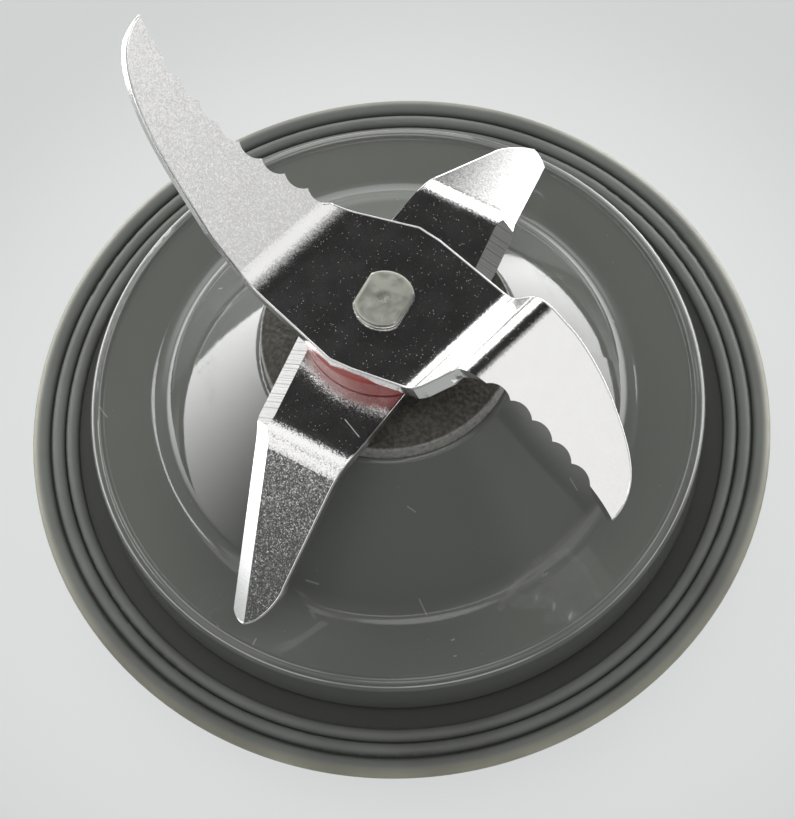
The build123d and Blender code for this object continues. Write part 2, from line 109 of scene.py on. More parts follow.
class Graph:
    """Node tree of one finish, with short calls for the nodes that finishes share.

    Places are object coordinates in millimetres, and scales count features per millimetre.
    """

    def __init__(self, tree: bpy.types.NodeTree) -> None:
        """Empty the tree and keep it."""
        self.tree, self.places = tree, {}
        tree.nodes.clear()

    def node(self, kind: str, inputs: dict, **settings: object) -> bpy.types.Node:
        """Add a node, set its properties and feed its inputs.

        Args:
            kind: Blender's name of the node type, without ShaderNode.
            inputs: socket or constant for each input, by the input's name or number.
            settings: properties of the node.

        Returns:
            The new node.
        """
        made = self.tree.nodes.new("ShaderNode" + kind)
        for name, value in settings.items():
            setattr(made, name, value)
        for name, value in inputs.items():
            if isinstance(value, Socket):
                self.tree.links.new(value, made.inputs[name])
            else:
                made.inputs[name].default_value = value
        return made

    def math(self, operation: str, *values: Feed) -> Socket:
        """Number worked out from others by one of Blender's operations."""
        return self.node("Math", dict(enumerate(values)), operation=operation).outputs[0]

    def times(self, *values: Feed) -> Socket:
        """Product of numbers."""
        return reduce(partial(self.math, "MULTIPLY"), values)

    def plus(self, *values: Feed) -> Socket:
        """Sum of numbers."""
        return reduce(partial(self.math, "ADD"), values)

    def most(self, *values: Feed) -> Feed:
        """Largest of numbers."""
        return reduce(partial(self.math, "MAXIMUM"), values)

    def rest(self, share: Feed) -> Socket:
        """What a share leaves of one."""
        return self.math("SUBTRACT", 1.0, share)

    def vector(self, operation: str, *values: Feed) -> Socket:
        """Vector, or number for a dot product, length or distance, worked out from vectors."""
        made = self.node("VectorMath", dict(enumerate(values)), operation=operation)
        return made.outputs["Value" if operation in NUMBERS else "Vector"]

    def scaled(self, vector: Feed, factor: Feed) -> Socket:
        """Vector made longer or shorter by a factor."""
        inputs = {"Vector": vector, "Scale": factor}
        return self.node("VectorMath", inputs, operation="SCALE").outputs["Vector"]

    def ramp(self, value: Feed, *step: float) -> Socket:
        """Smooth step of a number: where it begins and ends, and its result there (0 and 1)."""
        inputs = dict(enumerate((value, *step)))
        return self.node("MapRange", inputs, interpolation_type="SMOOTHSTEP").outputs["Result"]

    def blend(self, share: Feed, first: Feed, second: Feed) -> Socket:
        """Colour between two colours, by a share."""
        inputs = {"Factor": share, "A": first, "B": second}
        return self.node("Mix", inputs, data_type="RGBA").outputs["Result"]

    def mix(self, share: Feed, first: Socket, second: Socket) -> Socket:
        """Shader between two shaders, by a share."""
        return self.node("MixShader", {"Fac": share, 1: first, 2: second}).outputs[0]

    def place(self, turn: float = 0.0, stretch: tuple = ()) -> Socket:
        """Place, turned about the axis and then stretched, made once for each tree.

        Args:
            turn: degrees about z that bring a direction onto x.
            stretch: factor along each turned axis, or nothing.

        Returns:
            The place.
        """
        if (turn, stretch) not in self.places:
            source = self.node("TexCoord", {}).outputs["Object"]
            spin = (0.0, 0.0, radians(-turn))
            inputs = {"Vector": source, "Rotation": spin, "Scale": (1 / MM,) * 3}
            made = self.node("Mapping", inputs).outputs["Vector"]
            made = self.vector("MULTIPLY", made, stretch) if stretch else made
            self.places[turn, stretch] = made
        return self.places[turn, stretch]

    def normal(self) -> Socket:
        """Normal of the surface in the piece's own axes."""
        return self.node("TexCoord", {}).outputs["Normal"]

    def axis(self, name: str, vector: Optional[Socket] = None) -> Socket:
        """One part, X, Y or Z, of a vector or of the place."""
        return self.node("SeparateXYZ", {"Vector": vector or self.place()}).outputs[name]

    def radius(self) -> Socket:
        """Distance from the upright axis."""
        return self.vector("LENGTH", self.vector("MULTIPLY", self.place(), LEVEL))

    def noise(self, scale: float, detail: float = 3.0, rough: float = 0.5,
              place: Optional[Socket] = None) -> Socket:
        """Cloudy noise from 0 to 1, by its scale, octaves and the strength of each next octave."""
        inputs = {"Scale": scale, "Detail": detail, "Roughness": rough}
        return self.node("TexNoise", {"Vector": place or self.place(), **inputs}).outputs["Fac"]

    def comb(self, along: Feed, scale: float, detail: float = 2.0) -> Socket:
        """Noise along one line, which makes fine parallel lines."""
        inputs = {"W": along, "Scale": scale, "Detail": detail}
        return self.node("TexNoise", inputs, noise_dimensions="1D").outputs["Fac"]

    def cells(self, scale: float, place: Optional[Socket] = None) -> bpy.types.Node:
        """Foam of random cells."""
        return self.node("TexVoronoi", {"Vector": place or self.place(), "Scale": scale})

    def specks(self, scale: float, size: float, share: float,
               place: Optional[Socket] = None) -> Socket:
        """Scattered round specks.

        Args:
            scale: cells per millimetre.
            size: radius of a speck as a share of its cell.
            share: share of the cells that hold a speck.
            place: place to use instead of the plain one.

        Returns:
            The mask.
        """
        cells = self.cells(scale, place)
        lot = self.node("SeparateColor", {"Color": cells.outputs["Color"]}).outputs["Red"]
        spot = self.ramp(cells.outputs["Distance"], size * SPECK_CORE, size, 1.0, 0.0)
        return self.times(self.math("LESS_THAN", lot, share), spot)

    def facets(self, scale: float, tilt: Feed) -> Socket:
        """Normal that leans at random in each cell of a fine foam.

        Args:
            scale: cells per millimetre.
            tilt: size of the lean, as a share of the normal's length.

        Returns:
            The normal.
        """
        lot = self.cells(scale).outputs["Color"]
        lean = self.scaled(self.vector("SUBTRACT", lot, (0.5, 0.5, 0.5)), tilt)
        upright = self.node("NewGeometry", {}).outputs["Normal"]
        return self.vector("NORMALIZE", self.vector("ADD", upright, lean))

    def streak(self, start: tuple, end: tuple, half_width: float) -> Socket:
        """Straight mark seen from above, by the distance to the stretch between two spots.

        Args:
            start: x and y of one end.
            end: x and y of the other end.
            half_width: half of the mark's width.

        Returns:
            The mask.
        """
        run = np.subtract(end, start)
        length = float(np.hypot(*run))
        along = (*(run / length), 0.0)
        level = self.vector("MULTIPLY", self.place(), LEVEL)
        offset = self.vector("SUBTRACT", level, (*start, 0.0))
        reach = self.most(self.vector("DOT_PRODUCT", offset, along), 0.0)
        nearest = self.scaled(along, self.math("MINIMUM", reach, length))
        gap = self.vector("DISTANCE", offset, nearest)
        return self.ramp(gap, half_width * STREAK_CORE, half_width, 1.0, 0.0)

    def bump(self, height: Feed, depth: float, strength: float = 1.0, **under: Feed) -> Socket:
        """Normal tilted by a height whose 1 is a depth in millimetres, over another as Normal."""
        inputs = {"Strength": strength, "Distance": depth * MM, "Height": height, **under}
        return self.node("Bump", inputs).outputs["Normal"]

    def shade(self, **sockets: Feed) -> Socket:
        """Principled shader, with its inputs by name and underscores for spaces."""
        inputs = {name.replace("_", " "): value for name, value in sockets.items()}
        return self.node("BsdfPrincipled", inputs).outputs["BSDF"]

    def close(self, surface: Socket, kind: str = "OutputMaterial") -> None:
        """End the tree in its output."""
        self.node(kind, {"Surface": surface})


def grey(level: float, warm: float = 0.0) -> tuple:
    """Grey colour with a little warmth, as four numbers."""
    return (level * (1 + warm), level, level * (1 - warm), 1.0)


def mossy(level: float) -> tuple:
    """Faintly green grey of the mouldings and the gasket, as four numbers."""
    return (level * 0.96, level, level * 0.93, 1.0)


def toned(colour: tuple, factor: float) -> tuple:
    """Colour made darker or paler, as four numbers."""
    return (*(min(channel * factor, MOST_PALE) for channel in colour[:3]), 1.0)


def woven(name: str, weave: Callable[[Graph], None]) -> bpy.types.Material:
    """New material.

    Args:
        name: name of the material.
        weave: fills its node tree.

    Returns:
        The material.
    """
    made = bpy.data.materials.new(name)
    made.use_nodes = True
    weave(Graph(made.node_tree))
    return made


@dataclass(frozen=True)
class Finish:
    """A surface finish, which becomes one material."""

    name: str

    def weave(self, graph: Graph) -> None:
        """Fill the node tree, which each finish does in its own way."""
        raise NotImplementedError

    def material(self) -> bpy.types.Material:
        """Make the material once and give it back after that.

        Returns:
            The material.
        """
        if self not in MADE:
            MADE[self] = woven(self.name, self.weave)
        return MADE[self]


@dataclass(frozen=True)
class GlossyMoulding(Finish):
    """Polished grey plastic with dust, hairlines, the scratches that use has left, painted edge
    highlights and a painted reflection.
    """

    tone: float
    scratches: tuple
    scratched_from: float
    painted_highlight_edges: tuple
    painted_reflection_strokes: tuple
    drift: float = 0.07
    mark_tone: float = 0.5
    mark_share: float = 0.55
    highlight_tone: float = 0.85
    relief: float = 0.004
    lint_turn: float = 35.0
    hair_turns: tuple = (25.0, 118.0)

    def weave(self, graph: Graph) -> None:
        """Cloudy grey with scattered dust, straight scratches, painted edge highlights and a
        painted reflection on a clear gloss.

        Args:
            graph: the material's tree.
        """
        cloud = graph.noise(0.05, 2.0)
        dark, pale = mossy(self.tone * (1 - self.drift)), mossy(self.tone * (1 + self.drift))
        dust = graph.specks(0.9, 0.06, 0.16)
        lint = graph.specks(0.7, 0.07, 0.05, graph.place(self.lint_turn, (1.0, 0.22, 1.0)))
        top = graph.ramp(graph.axis("Z"), self.scratched_from, self.scratched_from + 0.3)
        lines = [graph.times(graph.streak(*mark), top) for mark in self.scratches]
        marks = graph.most(dust, lint, *lines)
        hair = self.hairlines(graph)
        share = graph.times(marks, self.mark_share)
        colour = graph.blend(share, graph.blend(cloud, dark, pale), grey(self.mark_tone))
        # painted reflection: paler strokes on the plateau's front right
        reflection_mask = graph.times(self.painted_reflection(graph), top)
        colour = graph.blend(reflection_mask, colour, grey(self.mark_tone, 0.01))
        # painted highlight: pale lines along the rim's edges
        colour = graph.blend(self.painted_rim_highlights(graph), colour, grey(self.highlight_tone))
        sheen = graph.ramp(graph.noise(1.4, 4.0), 0.3, 0.8, 0.035, 0.07)
        rough = graph.plus(sheen, graph.times(marks, 0.4), graph.times(hair, 0.12))
        ripple = graph.bump(graph.noise(0.35, 2.0), self.relief)
        normal = graph.bump(graph.plus(hair, marks), self.relief, 0.5, Normal=ripple)
        graph.close(graph.shade(Base_Color=colour, Roughness=rough, Normal=normal, IOR=1.52))

    def painted_reflection(self, graph: Graph) -> Socket:
        """Faint, broken mask of the painted reflection.

        Args:
            graph: the material's tree.

        Returns:
            The mask.
        """
        strokes = [graph.times(graph.streak(*run), share) for *run, share in self.painted_reflection_strokes]
        broken = graph.ramp(graph.noise(0.8), 0.3, 0.7, 0.4, 1.0)
        return graph.times(graph.most(0.0, *strokes), broken)

    def painted_rim_highlights(self, graph: Graph) -> Socket:
        """Painted highlight: a thin pale line on each polished edge, by the distance to it in
        radius and height.

        Args:
            graph: the material's tree.

        Returns:
            The mask.
        """
        section = graph.node("CombineXYZ", {"X": graph.radius(), "Y": graph.axis("Z")})
        lines = [0.0]
        for radius, height, half_width, share in self.painted_highlight_edges:
            gap = graph.vector("DISTANCE", section.outputs["Vector"], (radius, height, 0.0))
            lines.append(graph.ramp(gap, half_width * LINE_CORE, half_width, share, 0.0))
        broken = graph.ramp(graph.noise(0.06), 0.35, 0.6, 0.35, 1.0)
        return graph.times(graph.most(*lines), broken)

    def hairlines(self, graph: Graph) -> Socket:
        """Thin lines where stretched noise crosses its middle, in two directions.

        Args:
            graph: the material's tree.

        Returns:
            The mask.
        """
        lines = [0.0]
        for turn in self.hair_turns:
            stretched = graph.noise(1.0, 2.0, place=graph.place(turn, (0.05, 1.6, 0.05)))
            off_middle = graph.math("ABSOLUTE", graph.math("SUBTRACT", stretched, 0.5))
            lines.append(graph.ramp(off_middle, 0.002, 0.006, 1.0, 0.0))
        broken = graph.ramp(graph.noise(0.12, 2.0), 0.52, 0.62)
        return graph.times(graph.most(*lines), broken)


@dataclass(frozen=True)
class SatinMoulding(Finish):
    """Plastic or rubber with a fine spark-eroded texture."""

    colour: tuple
    roughness: float
    grain: float = 2.6
    relief: float = 0.02
    drift: float = 0.12
    dust_tone: float = 0.4

    def weave(self, graph: Graph) -> None:
        """Even grain with a slow drift of tone and a little dust.

        Args:
            graph: the material's tree.
        """
        grain = graph.noise(self.grain)
        cloud = graph.noise(0.08, 2.0)
        dark, pale = toned(self.colour, 1 - self.drift), toned(self.colour, 1 + self.drift)
        dust = graph.times(graph.specks(0.8, 0.07, 0.12), 0.4)
        colour = graph.blend(dust, graph.blend(cloud, dark, pale), grey(self.dust_tone))
        rough = graph.ramp(grain, 0.25, 0.75, self.roughness - 0.06, self.roughness + 0.08)
        normal = graph.bump(grain, self.relief)
        graph.close(graph.shade(Base_Color=colour, Roughness=rough, Normal=normal, IOR=PLASTIC_IOR))


@dataclass(frozen=True)
class GasketRubber(Finish):
    """Moulded rubber ring: painted shade darkens the grooves, grey on the ridges, paler round the
    outer bead.
    """

    valley_height: float
    top_height: float
    edge_radius: float
    outer_radius: float
    valley_shade_tone: float = 0.075
    ridge: float = 0.25
    edge: tuple = (0.6, 0.58, 0.47, 1.0)
    lint_tone: float = 0.4
    relief: float = 0.012

    def weave(self, graph: Graph) -> None:
        """Grained grey with painted shade by height, paler towards the rim, with lint.

        Args:
            graph: the material's tree.
        """
        grain = graph.noise(3.0)
        cloud = graph.noise(0.09)
        # painted shade: darker at valley height, in the grooves and on the inner flat by the wall
        height_shading = graph.ramp(graph.axis("Z"), self.valley_height, self.top_height)
        colour = graph.blend(height_shading, mossy(self.valley_shade_tone), mossy(self.ridge))
        # random stains in the same dark tone as the painted shade
        stain = graph.ramp(cloud, 0.3, 0.7, 0.0, 0.3)
        colour = graph.blend(stain, colour, mossy(self.valley_shade_tone))
        pale = graph.ramp(graph.radius(), self.edge_radius, self.outer_radius)
        uneven = graph.times(pale, graph.ramp(cloud, 0.25, 0.7, 1.0, 0.6))
        colour = graph.blend(uneven, colour, self.edge)
        lint = graph.times(graph.specks(1.1, 0.06, 0.14), 0.35)
        colour = graph.blend(lint, colour, grey(self.lint_tone))
        rough = graph.ramp(grain, 0.2, 0.8, 0.38, 0.52)
        normal = graph.bump(grain, self.relief)
        graph.close(graph.shade(Base_Color=colour, Roughness=rough, Normal=normal, IOR=1.45))


@dataclass(frozen=True)
class GroundFace:
    """Ground face of a blade: where it faces, how its edge runs, its tone and depth of lines."""

    normal: tuple
    run: tuple
    tone: float
    lines: float


@dataclass(frozen=True)
class BladeSteel(Finish):
    """Rolled stainless sheet with a fine sandy grain, painted glints on its level faces, and ground
    faces crossed by lines.
    """

    ground: tuple = ()
    scratch: tuple = ()
    grain_tilt: float = 0.085
    grain_scale: float = 9.0
    roughness: float = 0.16
    line_depth: float = 0.012

    def weave(self, graph: Graph) -> None:
        """Foam of leaning grains, pale specks painted on level faces as glints, and ground faces,
        found by their normal.

        Args:
            graph: the material's tree.
        """
        cloud = graph.noise(0.35)
        colour = graph.blend(cloud, grey(0.79, 0.01), grey(0.87, 0.004))
        smooth, lines = [0.0], [0.0]
        for face in self.ground:
            facing = graph.vector("DOT_PRODUCT", graph.normal(), face.normal)
            here = graph.ramp(facing, 0.985, 0.995)
            along = graph.vector("DOT_PRODUCT", graph.place(), face.run)
            streaks = graph.ramp(graph.comb(along, 4.0, 3.0), 0.3, 0.55)
            dark = grey(face.tone * (1.0 - 0.3 * face.lines))
            colour = graph.blend(here, colour, graph.blend(streaks, dark, grey(face.tone)))
            smooth.append(here)
            lines.append(graph.times(streaks, here, face.lines))
        plain = graph.rest(graph.most(*smooth))
        # painted glints: pale, less metallic specks on the level faces stand for grains catching
        # the light
        patchy = graph.ramp(graph.noise(1.2, 2.0), 0.35, 0.65)
        level = graph.ramp(graph.axis("Z", graph.normal()), 0.97, 0.995)
        bright = graph.times(graph.specks(4.6, 0.26, 0.3), patchy, graph.times(plain, level))
        colour = graph.blend(graph.times(bright, 0.8), colour, grey(0.72, 0.08))
        normal = graph.facets(self.grain_scale, graph.times(plain, self.grain_tilt))
        if self.ground:
            normal = graph.bump(graph.plus(*lines), self.line_depth, 0.5, Normal=normal)
        rough = graph.ramp(cloud, 0.3, 0.7, self.roughness, self.roughness + 0.02)
        rough = graph.plus(rough, graph.times(bright, 0.2))
        if self.scratch:
            mark = graph.streak(*self.scratch)
            colour = graph.blend(graph.times(mark, 0.8), colour, grey(MOST_PALE))
            rough = graph.plus(rough, graph.times(mark, 0.35))
        metal = graph.rest(graph.times(bright, 0.6))
        graph.close(graph.shade(Base_Color=colour, Roughness=rough, Normal=normal, Metallic=metal))


@dataclass(frozen=True)
class MachinedMetal(Finish):
    """Turned, drawn or plated metal."""

    colour: tuple
    roughness: float
    lay: Lay
    pitch: float
    pores: float = 0.0
    relief: float = 0.012

    def weave(self, graph: Graph) -> None:
        """Fine rings about the axis, stains, and open pores where the metal is sintered.

        Args:
            graph: the material's tree.
        """
        cloud = graph.noise(0.5, 4.0)
        across = cloud
        if self.lay is Lay.LEVEL_RINGS:
            across = graph.axis("Z")
        elif self.lay is Lay.FACE_RINGS:
            across = graph.radius()
        height = graph.comb(across, self.pitch)
        colour = graph.blend(cloud, toned(self.colour, 0.8), toned(self.colour, 1.12))
        if self.pores:
            holes = graph.specks(3.5, 0.4, self.pores)
            colour = graph.blend(holes, colour, toned(self.colour, 0.25))
            height = graph.math("SUBTRACT", height, holes)
        rough = graph.ramp(cloud, 0.25, 0.75, self.roughness, self.roughness + 0.14)
        normal = graph.bump(height, self.relief, 0.6)
        graph.close(graph.shade(Base_Color=colour, Roughness=rough, Normal=normal, Metallic=1.0))


@dataclass(frozen=True)
class PeenedSteel(Finish):
    """Hammered rivet head: dull and a little brassy, with a painted highlight on its rounded rim.
    """

    colour: tuple = (0.47, 0.475, 0.42, 1.0)
    # pale colour of the painted rim highlight
    rim: tuple = (0.92, 0.91, 0.88, 1.0)
    mark_tone: float = 0.15
    middle_radius: float = 0.55
    rim_height: float = 48.75
    top_height: float = 49.12

    def weave(self, graph: Graph) -> None:
        """Blotchy dull top, sides painted pale as a highlight, and a dark mark in the middle.

        Args:
            graph: the material's tree.
        """
        blotch = graph.noise(0.9, 4.0)
        fine = graph.noise(5.0)
        top = graph.blend(graph.ramp(blotch, 0.3, 0.7), toned(self.colour, 0.8), self.colour)
        # painted highlight: the sides and the rounded rim are coloured pale
        side = graph.ramp(graph.axis("Z"), self.rim_height, self.top_height, 1.0, 0.0)
        inner, outer = self.middle_radius * 0.5, self.middle_radius * 2.0
        mark = graph.ramp(graph.radius(), inner, outer, 0.75, 0.0)
        mark = graph.times(mark, graph.ramp(fine, 0.4, 0.6, 0.25, 1.0))
        colour = graph.blend(side, top, self.rim)
        colour = graph.blend(mark, colour, grey(self.mark_tone, 0.03))
        dull = graph.ramp(blotch, 0.3, 0.7, 0.42, 0.56)
        rough = graph.math("SUBTRACT", dull, graph.times(side, 0.32))
        normal = graph.bump(fine, 0.015, 0.6, Normal=graph.bump(blotch, 0.03, 0.6))
        graph.close(graph.shade(Base_Color=colour, Roughness=rough, Normal=normal, Metallic=1.0))


@dataclass(frozen=True)
class GrainedRubber(Finish):
    """Black rubber with a coarse grain, greyer round its side."""

    side_radius: float
    tone: float = 0.05
    grain_tone: float = 0.13
    side_tone: float = 0.46
    roughness: float = 0.62

    def earth(self, level: float) -> tuple:
        """Black with a faint yellow brown, as four numbers."""
        return (level, level * 0.98, level * 0.84, 1.0)

    def weave(self, graph: Graph) -> None:
        """Coarse and fine grain, greyer over the rounded rim and the side.

        Args:
            graph: the material's tree.
        """
        coarse = graph.noise(2.2, 4.0, 0.6)
        fine = graph.noise(7.0)
        crests = graph.ramp(coarse, 0.35, 0.75)
        colour = graph.blend(crests, self.earth(self.tone), self.earth(self.grain_tone))
        paler_side = graph.ramp(graph.radius(), self.side_radius, self.side_radius + 0.3)
        uneven = graph.times(paler_side, graph.ramp(coarse, 0.3, 0.6, 0.5, 1.0))
        colour = graph.blend(uneven, colour, grey(self.side_tone, 0.03))
        rough = graph.ramp(fine, 0.3, 0.7, self.roughness - 0.1, self.roughness + 0.12)
        normal = graph.bump(fine, 0.02, 0.7, Normal=graph.bump(coarse, 0.06, 0.7))
        graph.close(graph.shade(Base_Color=colour, Roughness=rough, Normal=normal, IOR=PLASTIC_IOR))


@dataclass(frozen=True)
class DyedNylon(Finish):
    """Turned coloured plastic with faint rings and rubs, and a painted highlight that pales one
    side.
    """

    colour: tuple = (0.56, 0.07, 0.065, 1.0)
    # tone of the rubs and of the painted highlight
    rub_and_highlight_tone: tuple = (0.72, 0.26, 0.24, 1.0)
    roughness: float = 0.27
    highlight_reach: float = -7.0
    ring_depth: float = 0.0012

    def weave(self, graph: Graph) -> None:
        """Slow tone drift, rings up the side, paler rubs and a painted highlight towards negative
        x.

        Args:
            graph: the material's tree.
        """
        cloud = graph.noise(0.4)
        rings = graph.noise(1.0, place=graph.place(0.0, (0.1, 0.1, 5.0)))
        rubs = graph.ramp(graph.noise(1.5), 0.55, 0.75, 0.0, 0.45)
        # painted highlight: paler towards negative x, where the spacer reflects the light
        painted_highlight_mask = graph.ramp(graph.axis("X"), self.highlight_reach, 0.0, 0.7, 0.0)
        tone = graph.blend(cloud, toned(self.colour, 0.82), self.colour)
        colour = graph.blend(graph.most(rubs, painted_highlight_mask), tone, self.rub_and_highlight_tone)
        rough = graph.ramp(cloud, 0.3, 0.7, self.roughness - 0.05, self.roughness + 0.1)
        normal = graph.bump(rings, self.ring_depth)
        graph.close(graph.shade(Base_Color=colour, Roughness=rough, Normal=normal, IOR=PLASTIC_IOR))


@dataclass(frozen=True)
class PressedFelt(Finish):
    """Oiled felt with matted fibres."""

    colour: tuple = (0.42, 0.36, 0.24, 1.0)
    fibre_turns: tuple = (0.0, 60.0, 120.0)
    relief: float = 0.12

    def weave(self, graph: Graph) -> None:
        """Fibres from noise stretched in three directions.

        Args:
            graph: the material's tree.
        """
        runs = [graph.place(turn, (0.6, 6.0, 6.0)) for turn in self.fibre_turns]
        fibres = graph.most(0.0, *(graph.noise(1.0, place=run) for run in runs))
        colour = graph.blend(graph.ramp(fibres, 0.45, 0.75), toned(self.colour, 0.55), self.colour)
        rough = graph.ramp(fibres, 0.4, 0.8, 0.75, 0.95)
        normal = graph.bump(fibres, self.relief, 0.8)
        graph.close(graph.shade(Base_Color=colour, Roughness=rough, Normal=normal,
                                Sheen_Weight=0.4))


def mesh_object(name: str, points: np.ndarray, faces: list) -> Piece:
    """Smooth mesh object from points in millimetres.

    Args:
        name: name of the piece.
        points: one row for each point.
        faces: point numbers of each face.

    Returns:
        The new object, linked to the scene.
    """
    mesh = bpy.data.meshes.new(name)
    mesh.from_pydata((points * MM).tolist(), [], faces)
    mesh.shade_smooth()
    made = bpy.data.objects.new(name, mesh)
    bpy.context.scene.collection.objects.link(made)
    return made


def tube_cells(near: np.ndarray, far: np.ndarray) -> np.ndarray:
    """Four-sided faces between rows of point numbers and the next rows, closed round each row."""
    return np.stack([near, np.roll(near, -1, axis=1), np.roll(far, -1, axis=1), far], axis=-1)


def sheet_mesh(name: str, grid: np.ndarray, wrap_rows: bool, wrap_columns: bool,
               cap: bool = False) -> Piece:
    """Mesh object from a grid of points in millimetres: each cell is one four-sided face.

    Args:
        name: name of the piece.
        grid: points, rows by columns by three.
        wrap_rows: join the last row to the first.
        wrap_columns: join the last column to the first.
        cap: close the first and the last row with a face each.

    Returns:
        The new object, linked to the scene and shaded smooth.
    """
    rows, columns = grid.shape[:2]
    number = np.arange(rows * columns).reshape(rows, columns)
    cells = tube_cells(number, np.roll(number, -1, axis=0))
    cells = cells[: rows if wrap_rows else rows - 1, : columns if wrap_columns else columns - 1]
    ends = [number[0, ::-1].tolist(), number[-1].tolist()] if cap else []
    return mesh_object(name, grid.reshape(-1, 3), cells.reshape(-1, 4).tolist() + ends)


def ripples(first: np.ndarray, second: np.ndarray, count: int, pitch: float,
            seed: int) -> np.ndarray:
    """Seeded grain from 0 to 1: the mean of plane waves in random directions, of about one pitch.

    Args:
        first: one coordinate on the surface, in millimetres.
        second: the other coordinate.
        count: number of waves.
        pitch: wavelength in millimetres.
        seed: seed of the directions and phases.

    Returns:
        The height at each point.
    """
    lot = np.random.default_rng(seed)
    angle = lot.uniform(0, 2 * np.pi, count)
    wave = 2 * np.pi / (pitch * lot.uniform(*PITCH_SPREAD, count))
    phase = lot.uniform(0, 2 * np.pi, count)
    total = np.zeros_like(first)
    for turn, number, shift in zip(angle, wave, phase):
        total += np.sin((first * np.cos(turn) + second * np.sin(turn)) * number + shift)
    return np.clip(0.5 + total / np.sqrt(8 * count), 0, 1)


def dress(finish: Finish, *names: str) -> None:
    """Give CAD nodes a finish and report each.

    Args:
        finish: the finish.
        names: the nodes.
    """
    for name in names:
        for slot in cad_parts[name].material_slots:
            slot.material = finish.material()
        log.info("dressed %s with %s", name, finish.name)


def place_piece(piece: Piece, body: Body, slot: str, finish: Finish, *nodes: str) -> None:
    """Dress a new piece, set it on its body and let it stand for CAD nodes.

    Args:
        piece: the piece.
        body: body that it rides on.
        slot: the record's material slot; not used.
        finish: its finish.
        nodes: CAD nodes that it replaces.
    """
    piece.data.materials.append(finish.material())
    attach(piece, body.value)
    if nodes:
        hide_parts(*nodes)
    log.info("built %s with %s, %d faces", piece.name, finish.name, len(piece.data.polygons))


@dataclass
class Housing:
    """Upper and lower mouldings with their screws.

    A scratch is two ends and half its width, and a stroke of painted reflection has its strength
    too. A painted edge highlight is a radius, a height, half its width and its strength.
    """

    tone: float = 0.205
    scratched_from: float = 23.4
    scratches: tuple = (
        ((-33.66, 3.33), (-32.95, 2.09), 0.1),
        ((-12.41, -21.49), (-11.09, -22.15), 0.1),
        ((-0.34, -25.23), (0.25, -26.72), 0.1),
        ((-19.05, -27.4), (-18.65, -26.8), 0.1),
        ((-0.32, -17.85), (0.45, -18.35), 0.07),
        ((17.81, -14.47), (18.46, -15.41), 0.08),
        ((2.6, -29.86), (2.84, -29.8), 0.14),
        ((2.6, -31.72), (2.82, -31.7), 0.12),
        ((-18.57, 14.88), (-18.2, 14.6), 0.12),
    )
    # strokes of painted reflection on the plateau's front right
    painted_reflection_strokes: tuple = (
        ((8.36, -26.84), (10.74, -24.28), 0.55, 0.16),
        ((10.74, -24.28), (13.31, -22.1), 0.45, 0.14),
        ((15.41, -21.84), (16.47, -21.44), 0.5, 0.1),
        ((16.47, -21.44), (18.16, -23.86), 0.55, 0.13),
        ((18.16, -23.86), (19.16, -27.01), 0.55, 0.1),
        ((10.23, -26.3), (13.23, -26.9), 1.3, 0.13),
        ((13.4, -28.6), (16.14, -29.1), 1.1, 0.11),
        ((12.6, -24.3), (16.6, -25.6), 3.4, 0.05),
    )
    # painted highlights on the rim's two edges
    painted_highlight_edges: tuple = ((33.86, 24.35, 0.12, 0.35), (34.68, 24.03, 0.13, 0.9))

    def dress(self) -> None:
        """Gloss above, satin below."""
        gloss = GlossyMoulding("grey_gloss_plastic", self.tone, self.scratches,
                               self.scratched_from, self.painted_highlight_edges, self.painted_reflection_strokes)
        dress(gloss, "base_body")
        dress(SatinMoulding("grey_satin_plastic", mossy(self.tone * 0.95), 0.36), "lower_housing")
        zinc = MachinedMetal("zinc_plated_screw", grey(0.62, 0.01), 0.3, Lay.FACE_RINGS, 6.0)
        dress(zinc, "housing_screws")


@dataclass
class Gasket:
    """Ridged rubber ring under the spigot wall."""

    outer_radius: float = 42.7
    bead_reach: float = 1.1
    valley_height: float = 17.15
    top_height: float = 17.9

    def dress(self) -> None:
        """Rubber with painted shade in its grooves, paler at the outer bead."""
        dress(GasketRubber("ridged_gasket_rubber", self.valley_height, self.top_height,
                           self.outer_radius - self.bead_reach, self.outer_radius), "rim_gasket")


